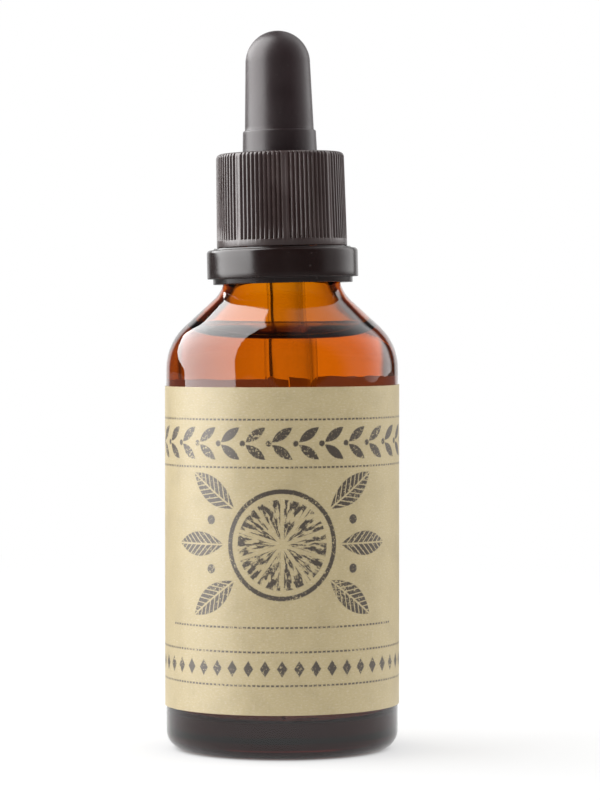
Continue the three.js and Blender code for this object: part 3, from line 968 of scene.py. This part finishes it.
class BOTTLE_OT_ring(bpy.types.Operator):
    """Mould the break-away ring with its lip, its hook and the stubs of its bridges"""

    bl_idname = "bottle.ring"
    bl_label = "Break-away ring"

    BRIDGE_SHARE = 0.2

    def execute(self, context):
        closure = context.scene.bottle_closure
        glass = context.scene.bottle_glass
        shape = GlassShape(glass)
        foot, top = RING_BOX[0].z, RING_BOX[1].z
        edge = closure.edge_round
        hook = glass.neck_radius + 2.0 * closure.ring_gap
        hook_top = foot + closure.hook_height
        bore = shape.bead + closure.ring_gap
        outer = bore + closure.ring_wall
        lip = outer - closure.lip_step
        lip_top = foot + closure.lip_height
        land = (bore + outer - closure.ring_round) / 2.0
        line = Profile(hook, foot)
        line.run(lip - edge, foot)
        line.bend(lip - edge, foot + edge, QUARTER, EDGE_STEPS)
        line.run(lip, lip_top - edge)
        line.bend(lip + edge, lip_top - edge, -QUARTER, EDGE_STEPS)
        line.run(outer - edge, lip_top)
        line.bend(outer - edge, lip_top + edge, QUARTER, EDGE_STEPS)
        line.run(outer, top - closure.ring_round, 4)
        line.bend(outer - closure.ring_round, top - closure.ring_round, QUARTER)
        line.run(land, top)
        line.run(land - edge, top + closure.land_rise)
        line.run(bore, top + closure.land_rise)
        line.run(bore, hook_top, 3)
        line.run(hook + edge, hook_top - edge)
        line.run(hook, hook_top - 2.0 * edge)
        mesh = line.closed().turned(CLOSURE_STEPS)
        self.break_bridges(mesh, closure, top + closure.land_rise, land)
        lean_closure(mesh, context.scene.bottle_dropper)
        material = moulded_material(
            "Ring plastic", closure.ring_dark, closure.ring_pale, dust=0.10, roughness=(0.16, 0.30),
            specular=0.6, grain_scale=1500.0, grain_depth=0.00001)
        piece = finish_mesh("tamper_ring_moulded", mesh, material)
        dress(piece, "tamper_ring", "tamper_ring")
        return {"FINISHED"}

    def break_bridges(self, mesh, closure, top, land):
        """Draws the stubs of the broken bridges up out of the ring's inner land."""
        stubs = []
        for face in mesh.faces:
            middle = face.calc_center_median()
            flat = abs(middle.z - top) < WELD and middle.xy.length < land
            share = (math.atan2(middle.y, middle.x) / TURN * closure.bridge_count) % 1.0
            if flat and share < self.BRIDGE_SHARE:
                stubs.append(face)
        drawn = bmesh.ops.extrude_face_region(mesh, geom=stubs)
        risen = [item for item in drawn["geom"] if isinstance(item, bmesh.types.BMVert)]
        bmesh.ops.translate(mesh, verts=risen, vec=(0.0, 0.0, closure.bridge_height))
        bmesh.ops.delete(mesh, geom=stubs, context="FACES_ONLY")


class BOTTLE_OT_cap(bpy.types.Operator):
    """Mould the ribbed screw cap with its hole and its inner thread"""

    bl_idname = "bottle.cap"
    bl_label = "Screw cap"

    RIB_FACETS = 8
    WIDE_SHARE = 0.22
    GROOVE_SHARES = (1.0, 0.78, 0.24, 0.02, 0.0)

    def execute(self, context):
        closure = context.scene.bottle_closure
        foot, top = CAP_BOX[0].z, CAP_BOX[1].z
        edge = closure.edge_round
        foot_radius = CAP_BOX[1].x
        top_radius = foot_radius - closure.cap_taper
        shoulder = top - closure.cap_round
        panel_foot = top - closure.cap_panel
        groove_foot = foot + closure.band
        line = Profile(closure.cap_bore, foot)
        line.run(foot_radius - edge, foot)
        line.bend(foot_radius - edge, foot + edge, QUARTER, CAP_EDGE_STEPS)
        line.run(self.wall(foot_radius, foot, shoulder, groove_foot, closure), groove_foot)
        line.run(self.wall(foot_radius, foot, shoulder, groove_foot + edge, closure), groove_foot + edge)
        line.run(top_radius, shoulder, 5)
        line.bend(top_radius - closure.cap_round, shoulder, QUARTER, ROUND_STEPS)
        line.run(closure.cap_hole + edge, top, 2)
        line.bend(closure.cap_hole + edge, top - edge, QUARTER, CAP_EDGE_STEPS)
        line.run(closure.cap_hole, panel_foot)
        line.run(closure.cap_bore - edge, panel_foot)
        line.bend(closure.cap_bore - edge, panel_foot - edge, -QUARTER, CAP_EDGE_STEPS)
        line.run(closure.cap_bore, foot + edge, 40)
        mesh = line.closed().turned(closure.rib_count * self.RIB_FACETS)
        turn_round(mesh, mesh.verts[:], closure.rib_turn)
        self.sink_grooves(mesh, closure, foot_radius, foot, shoulder, groove_foot)
        self.cut_thread(mesh, context.scene.bottle_glass, closure)
        lean_closure(mesh, context.scene.bottle_dropper)
        material = moulded_material(
            "Cap plastic", closure.cap_dark, closure.cap_pale, dust=0.22, roughness=(0.26, 0.40),
            specular=1.0, grain_scale=1900.0, grain_depth=0.00002)
        piece = finish_mesh("screw_cap_ribbed", mesh, material)
        dress(piece, "cap", "screw_cap")
        return {"FINISHED"}

    def wall(self, foot_radius, foot, shoulder, height, closure):
        """The tapered wall's radius at a height."""
        return foot_radius - closure.cap_taper * (height - foot) / (shoulder - foot)

    def sink_grooves(self, mesh, closure, foot_radius, foot, shoulder, groove_foot):
        """Sinks the grooves between the ribs, but only a little where they leave a wide rib."""
        pitch = TURN / closure.rib_count
        for vertex in mesh.verts:
            if vertex.co.z < groove_foot + WELD:
                continue
            turn = (math.atan2(vertex.co.y, vertex.co.x) - closure.rib_turn) / pitch
            place = round(turn)
            share = self.GROOVE_SHARES[round(abs(turn - place) * self.RIB_FACETS)]
            if place % closure.wide_every == 0:
                share *= self.WIDE_SHARE
            depth = share * closure.rib_depth
            deepest = self.wall(foot_radius, foot, shoulder, vertex.co.z, closure) - depth
            radius = vertex.co.xy.length
            if radius > deepest:
                vertex.co.xy *= deepest / radius

    def cut_thread(self, mesh, glass, closure):
        """Raises the thread on the bore, midway between the turns of the neck's thread."""
        shape = GlassShape(glass)
        raise_helix(
            mesh, closure.cap_bore, shape.thread_foot + glass.thread_pitch / 2.0, glass.thread_pitch,
            closure.inner_thread_turns, closure.inner_thread_half_width, -closure.inner_thread,
            glass.thread_fade)


# Dropper

class BOTTLE_OT_teat(bpy.types.Operator):
    """Mould the rubber teat with its plug, flange, collar and hollow bulb"""

    bl_idname = "bottle.teat"
    bl_label = "Rubber teat"

    def execute(self, context):
        dropper = context.scene.bottle_dropper
        foot, crown = TEAT_BOX[0].z, TEAT_BOX[1].z
        flange_foot = foot + dropper.plug_length
        flange_top = flange_foot + dropper.flange_thickness
        cap_top = CAP_BOX[1].z
        collar_top = cap_top + dropper.collar_rise
        flange = TEAT_BOX[1].x
        plug = dropper.plug_radius
        collar_edge = dropper.collar_radius - dropper.collar_draft
        bulb = dropper.collar_radius - dropper.collar_step
        crown_radius = bulb - dropper.bulb_taper
        dome = crown - crown_radius
        hollow = crown_radius - dropper.bulb_wall
        grip = dropper.pipette_radius + dropper.seat_gap
        pocket = PIPETTE_BOX[1].x + dropper.seat_gap
        rim_seat = collar_top - dropper.rim_depth
        edge = dropper.collar_round
        line = Profile(0.0, crown)
        line.bend(0.0, dome, -QUARTER, DOME_STEPS)
        line.run(bulb, collar_top + edge / 2.0, 18)
        line.run(collar_edge - edge, collar_top)
        line.bend(collar_edge - edge, collar_top - edge, -QUARTER)
        line.run(dropper.collar_radius, cap_top, 6)
        line.run(dropper.collar_radius, flange_top)
        line.run(flange, flange_top)
        line.run(flange, flange_foot)
        line.run(plug, flange_foot)
        line.run(plug, foot + edge)
        line.bend(plug - edge, foot + edge, -QUARTER)
        line.run(grip, foot)
        line.run(grip, rim_seat, 4)
        line.run(pocket, rim_seat)
        line.run(hollow, dome, 12)
        line.bend(0.0, dome, QUARTER, DOME_STEPS)
        mesh = line.turned(DROPPER_STEPS)
        lean_closure(mesh, dropper)
        material = moulded_material(
            "Teat rubber", dropper.rubber_dark, dropper.rubber_pale, dust=0.05, roughness=(0.32, 0.46),
            specular=0.7, grain_scale=1600.0, grain_depth=0.00003)
        piece = finish_mesh("rubber_teat_bulb", mesh, material)
        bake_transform(piece)
        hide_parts("rubber_teat")
        return {"FINISHED"}


def clear_glass():
    """Clear drawn glass with a faint green tint and fine draw lines."""
    material, tree, surface, _ = new_material("Clear glass")
    stretch = add_node(tree, "Mapping", inputs={
        "Vector": object_place(tree), "Scale": (1.0, 1.0, 0.02)})
    lines = noise(tree, stretch.outputs["Vector"], 900.0, 2.0, 0.5)
    make_clear(surface, TUBE_TINT, TUBE_IOR)
    feed(tree, surface.inputs["Roughness"], lines.between(0.0, 0.02).socket)
    bump(tree, surface, lines, 0.1, 0.00003)
    return material


class BOTTLE_OT_pipette(bpy.types.Operator):
    """Draw the clear glass pipette with its rim and its tapered tip"""

    bl_idname = "bottle.pipette"
    bl_label = "Glass pipette"

    def execute(self, context):
        dropper = context.scene.bottle_dropper
        tip, top = PIPETTE_BOX[0].z, PIPETTE_BOX[1].z
        rim = PIPETTE_BOX[1].x
        rim_foot = top - dropper.rim_height
        edge = dropper.collar_round
        line = Profile(dropper.tip_bore, tip)
        line.run(dropper.tip_radius - edge, tip)
        line.bend(dropper.tip_radius - edge, tip + edge, QUARTER, EDGE_STEPS)
        line.run(dropper.pipette_radius, tip + dropper.tip_taper, 6)
        line.run(dropper.pipette_radius, rim_foot, 24)
        line.run(rim - edge, rim_foot)
        line.bend(rim - edge, rim_foot + edge, QUARTER, EDGE_STEPS)
        line.run(rim, top - edge)
        line.bend(rim - edge, top - edge, QUARTER, EDGE_STEPS)
        line.run(dropper.pipette_bore, top)
        line.run(dropper.pipette_bore, tip + dropper.tip_taper, 24)
        mesh = line.closed().turned(DROPPER_STEPS)
        lean_tube(mesh, dropper)
        piece = finish_mesh("glass_pipette_clear", mesh, clear_glass())
        dress(piece, "dropper", "glass_pipette")
        return {"FINISHED"}


# Stage

class BOTTLE_OT_stage(bpy.types.Operator):
    """Set the camera, the softbox, the reflector, the white room, the floor and the flag"""

    bl_idname = "bottle.stage"
    bl_label = "Studio"

    KEY_PLACE = Vector((-0.571, -0.1347, 0.148))
    KEY_LONG = Vector((0.59, 0.635, 0.495))
    KEY_BACK = Vector((-0.725, 0.152, 0.669))
    KEY_SIZE = (1.275, 0.66)
    SHINE_GAP = 0.002
    FILL_PLACE = Vector((0.58, 0.155, 0.10))
    FILL_AIM = Vector((0.0, 0.0, 0.066))
    FILL_SIZE = (0.6, 0.9)
    FLOOR_RADIUS = 6.0
    FLAG_RADIUS = 0.030
    FLAG_HEIGHT = 0.007
    FLAG_GLOW = 0.12
    BOUNCES = 24

    BACKDROP_SIDES = (0.64, 0.55)
    BACKDROP_LEFT = (0.55, -0.15)
    BACKDROP_FRONT = (0.0, 0.3)
    BACKDROP_RIGHT_LEVEL = 0.5
    BACKDROP_HEIGHT = (0.32, 0.14)
    CORNER_SIDES = (0.40, 0.28)
    CORNER_HEIGHT = (0.20, 0.10)
    RIM_FRONT = (0.84, 0.91)
    NEAR_REFLECTOR = (-0.6, -0.15)
    NEAR_LEVEL = 0.55
    FAR_REFLECTOR = (-0.1, 0.65)
    FAR_LEVEL = 1.75
    REFLECTOR_SIDE = (0.0, 0.2)
    REFLECTOR_END = (0.80, 0.70)
    REFLECTOR_HEIGHT = (0.9, 0.2)
    REFLECTOR_TOP_LEVEL = 0.5
    REFLECTOR_THROUGH = 0.5

    FLOOR_FAR = (0.14, 0.45)
    FLOOR_SHOWN = (0.12, 0.24)
    FLOOR_RIM = (0.35, 0.9)
    FLOOR_BRIGHT = (0.18, 0.08)
    # Radii from the axis over which the floor's glow comes in: painted shade under the foot.
    FOOT_SHADE_EDGE = (0.0145, 0.0178)

    def execute(self, context):
        scene = context.scene
        stage = scene.bottle_stage
        softbox = self.key("Softbox", stage.key_level, 0.0)
        shine = self.key("Softbox shine", stage.key_shine, self.SHINE_GAP)
        shine.visible_diffuse = False
        made = (
            self.camera(scene, stage), softbox, shine, self.fill(stage), self.floor(stage), self.flag())
        for item in made:
            if item.name not in scene.collection.objects:
                scene.collection.objects.link(item)
        scene.world = self.room(stage)
        scene.view_settings.view_transform = "Standard"
        scene.cycles.max_bounces = self.BOUNCES
        scene.cycles.transmission_bounces = self.BOUNCES
        return {"FINISHED"}

    def camera(self, scene, stage):
        """The camera in front of the bottle, at the height of its shoulder."""
        data = bpy.data.cameras.new("Camera")
        data.lens = stage.lens
        data.sensor_width = 36.0
        data.clip_start = 0.01
        data.clip_end = 20.0
        item = bpy.data.objects.new("Camera", data)
        item.location = (0.0, -stage.camera_distance, stage.camera_height)
        item.rotation_euler = (QUARTER - stage.camera_pitch, 0.0, -stage.camera_yaw)
        scene.camera = item
        return item

    def lamp(self, name, wide, tall, level):
        """A flat lamp that isn't seen itself, with a brightness where white is 1."""
        data = bpy.data.lights.new(name, "AREA")
        data.shape = "RECTANGLE"
        data.size = wide
        data.size_y = tall
        data.energy = level * math.pi * wide * tall
        item = bpy.data.objects.new(name, data)
        item.visible_camera = False
        item.visible_transmission = False
        return item

    def key(self, name, level, gap):
        """The long softbox above the bottle's left side, or its shine at a small gap behind it."""
        item = self.lamp(name, *self.KEY_SIZE, level)
        back = self.KEY_BACK.normalized()
        along = (self.KEY_LONG - back * self.KEY_LONG.dot(back)).normalized()
        turn = Matrix((along, back.cross(along), back)).transposed()
        item.matrix_world = Matrix.Translation(self.KEY_PLACE + back * gap) @ turn.to_4x4()
        return item

    def fill(self, stage):
        """The weaker reflector on the right."""
        item = self.lamp("Reflector", *self.FILL_SIZE, stage.fill_level)
        item.visible_glossy = False
        item.location = self.FILL_PLACE
        item.rotation_euler = (self.FILL_PLACE - self.FILL_AIM).to_track_quat("Z", "Y").to_euler()
        return item

    def backdrop(self, right, ahead):
        """The backdrop as glass shows it, by heading: lit in front, brightest to the left."""
        sides = right.size().ramp(*self.BACKDROP_SIDES)
        left = right.ramp(*self.BACKDROP_LEFT).between(self.BACKDROP_RIGHT_LEVEL, 1.0)
        return sides * left * ahead.ramp(*self.BACKDROP_FRONT)

    def rim(self, ahead):
        """The backdrop as mirrored at a grazing angle, by heading: lit straight ahead."""
        return ahead.ramp(*self.RIM_FRONT)

    def reflector(self, right, ahead):
        """The reflector on the right, by heading: weak in front of the bottle, brightest behind it."""
        near = ahead.ramp(*self.NEAR_REFLECTOR) * self.NEAR_LEVEL
        far = ahead.ramp(*self.FAR_REFLECTOR) * self.FAR_LEVEL
        return (near + far) * right.ramp(*self.REFLECTOR_SIDE) * ahead.ramp(*self.REFLECTOR_END)

    def shown(self, right, ahead, stage):
        """What glass shows of the studio, by heading: the brighter one of backdrop and reflector."""
        reflector = self.reflector(right, ahead) * stage.fill_shine
        return self.backdrop(right, ahead).most(reflector.least(1.0) * self.REFLECTOR_THROUGH)

    def room(self, stage):
        """A white backdrop that is seen directly and through glass, in a dim room."""
        world = bpy.data.worlds.new("Room")
        world.use_nodes = True
        tree = world.node_tree
        path = add_node(tree, "LightPath")
        camera = Field(tree, path.outputs["Is Camera Ray"])
        through = Field(tree, path.outputs["Is Transmission Ray"])
        mirrored = Field(tree, path.outputs["Is Glossy Ray"])
        heading = add_node(tree, "SeparateXYZ", inputs={
            "Vector": add_node(tree, "TexCoord").outputs["Generated"]})
        right, ahead, up = (Field(tree, heading.outputs[axis]) for axis in "XYZ")
        corners = right.size().ramp(*self.CORNER_SIDES).most(up.ramp(*self.CORNER_HEIGHT))
        shown = self.shown(right, ahead, stage) * up.size().ramp(*self.BACKDROP_HEIGHT) * corners
        fading = up.ramp(*self.REFLECTOR_HEIGHT).between(self.REFLECTOR_TOP_LEVEL, 1.0)
        lit = self.rim(ahead).most(self.reflector(right, ahead) * fading * stage.fill_shine)
        matt = (1.0 - through.most(mirrored)) * stage.ambient_level
        shiny = (mirrored - through).most(0.0) * (lit + stage.room_level)
        clear = through * shown.between(stage.room_level, 1.0)
        level = (matt + shiny + clear).most(camera)
        background = tree.nodes["Background"]
        background.inputs["Color"].default_value = (1.0, 1.0, 1.0, 1.0)
        feed(tree, background.inputs["Strength"], level.socket)
        return world

    def floor(self, stage):
        """A white floor that takes a soft shadow near the bottle and runs out into the backdrop."""
        material, tree, surface, output = new_material("Floor")
        tree.nodes.remove(surface)
        place = object_place(tree)
        length = add_node(tree, "VectorMath", operation="LENGTH", inputs={0: place})
        distance = Field(tree, length.outputs["Value"])
        split = add_node(tree, "SeparateXYZ", inputs={"Vector": place})
        right = Field(tree, split.outputs["X"]) / distance
        ahead = Field(tree, split.outputs["Y"]) / distance
        far = distance.ramp(*self.FLOOR_FAR)
        path = add_node(tree, "LightPath")
        through = Field(tree, path.outputs["Is Transmission Ray"])
        mirrored = (Field(tree, path.outputs["Is Glossy Ray"]) - through).most(0.0)
        shown = self.shown(right, ahead, stage) * distance.ramp(*self.FLOOR_SHOWN)
        dark = through * (1.0 - shown.between(stage.floor_through, 1.0))
        rim = self.rim(ahead) * distance.ramp(*self.FLOOR_RIM)
        shiny = rim.most(distance.ramp(*self.FLOOR_BRIGHT))
        dull = mirrored * (1.0 - shiny.between(stage.floor_mirrored, 1.0))
        dimmed = 1.0 - (dull + dark)
        matt = add_node(tree, "BsdfDiffuse", inputs={
            "Color": blend_colours(tree, dimmed, BLACK, stage.floor_colour)})
        # Painted shade: the floor's glow is left out under the foot, where the bottle's shadow falls.
        glow_with_painted_foot_shade = distance.ramp(*self.FOOT_SHADE_EDGE) * stage.floor_glow * dimmed
        glow = add_node(tree, "Emission", inputs={"Strength": glow_with_painted_foot_shade.socket})
        near = add_node(tree, "AddShader", inputs={0: matt.outputs["BSDF"], 1: glow.outputs["Emission"]})
        white = add_node(tree, "Emission", inputs={"Strength": dimmed.socket})
        both = add_node(tree, "MixShader", inputs={
            0: far.socket, 1: near.outputs["Shader"], 2: white.outputs["Emission"]})
        feed(tree, output.inputs["Surface"], both.outputs["Shader"])
        mesh = bmesh.new()
        bmesh.ops.create_circle(mesh, cap_ends=True, segments=96, radius=self.FLOOR_RADIUS)
        return finish_mesh("Floor", mesh, material)

    def flag(self):
        """A low dim band round the foot that only rays through the glass meet, to keep the base dark."""
        material, tree, surface, output = new_material("Flag")
        tree.nodes.remove(surface)
        dim = add_node(tree, "Emission", inputs={"Strength": self.FLAG_GLOW})
        feed(tree, output.inputs["Surface"], dim.outputs["Emission"])
        mesh = Profile(self.FLAG_RADIUS, 0.0).run(self.FLAG_RADIUS, self.FLAG_HEIGHT).turned(64)
        item = finish_mesh("Flag", mesh, material)
        item.visible_camera = False
        item.visible_diffuse = False
        item.visible_glossy = False
        item.visible_shadow = False
        return item


# Panel and registration

class BOTTLE_PT_panel(bpy.types.Panel):
    """Lists the steps that build the bottle and its studio"""

    bl_idname = "BOTTLE_PT_panel"
    bl_label = "Dropper Bottle"
    bl_space_type = "VIEW_3D"
    bl_region_type = "UI"
    bl_category = "Bottle"

    def draw(self, context):
        for step in STEPS:
            self.layout.operator(step.bl_idname)


GROUPS = {
    "bottle_glass": GlassSettings,
    "bottle_label": LabelSettings,
    "bottle_liquid": LiquidSettings,
    "bottle_closure": ClosureSettings,
    "bottle_dropper": DropperSettings,
    "bottle_stage": StageSettings,
}
STEPS = (
    BOTTLE_OT_glass,
    BOTTLE_OT_label,
    BOTTLE_OT_liquid,
    BOTTLE_OT_ring,
    BOTTLE_OT_cap,
    BOTTLE_OT_teat,
    BOTTLE_OT_pipette,
    BOTTLE_OT_stage,
)


def register():
    """Makes the settings, the steps and the panel known."""
    for group in GROUPS.values():
        bpy.utils.register_class(group)
    for step in STEPS:
        bpy.utils.register_class(step)
    bpy.utils.register_class(BOTTLE_PT_panel)
    for name, group in GROUPS.items():
        setattr(bpy.types.Scene, name, bpy.props.PointerProperty(type=group))


def unregister():
    """Takes the settings, the steps and the panel away again."""
    for name in GROUPS:
        delattr(bpy.types.Scene, name)
    bpy.utils.unregister_class(BOTTLE_PT_panel)
    for step in reversed(STEPS):
        bpy.utils.unregister_class(step)
    for group in GROUPS.values():
        bpy.utils.unregister_class(group)


def main():
    """Builds every piece and the studio."""
    register()
    bpy.ops.bottle.glass()
    bpy.ops.bottle.label()
    bpy.ops.bottle.liquid()
    bpy.ops.bottle.ring()
    bpy.ops.bottle.cap()
    bpy.ops.bottle.teat()
    bpy.ops.bottle.pipette()
    bpy.ops.bottle.stage()


if __name__ == "__main__":
    main()
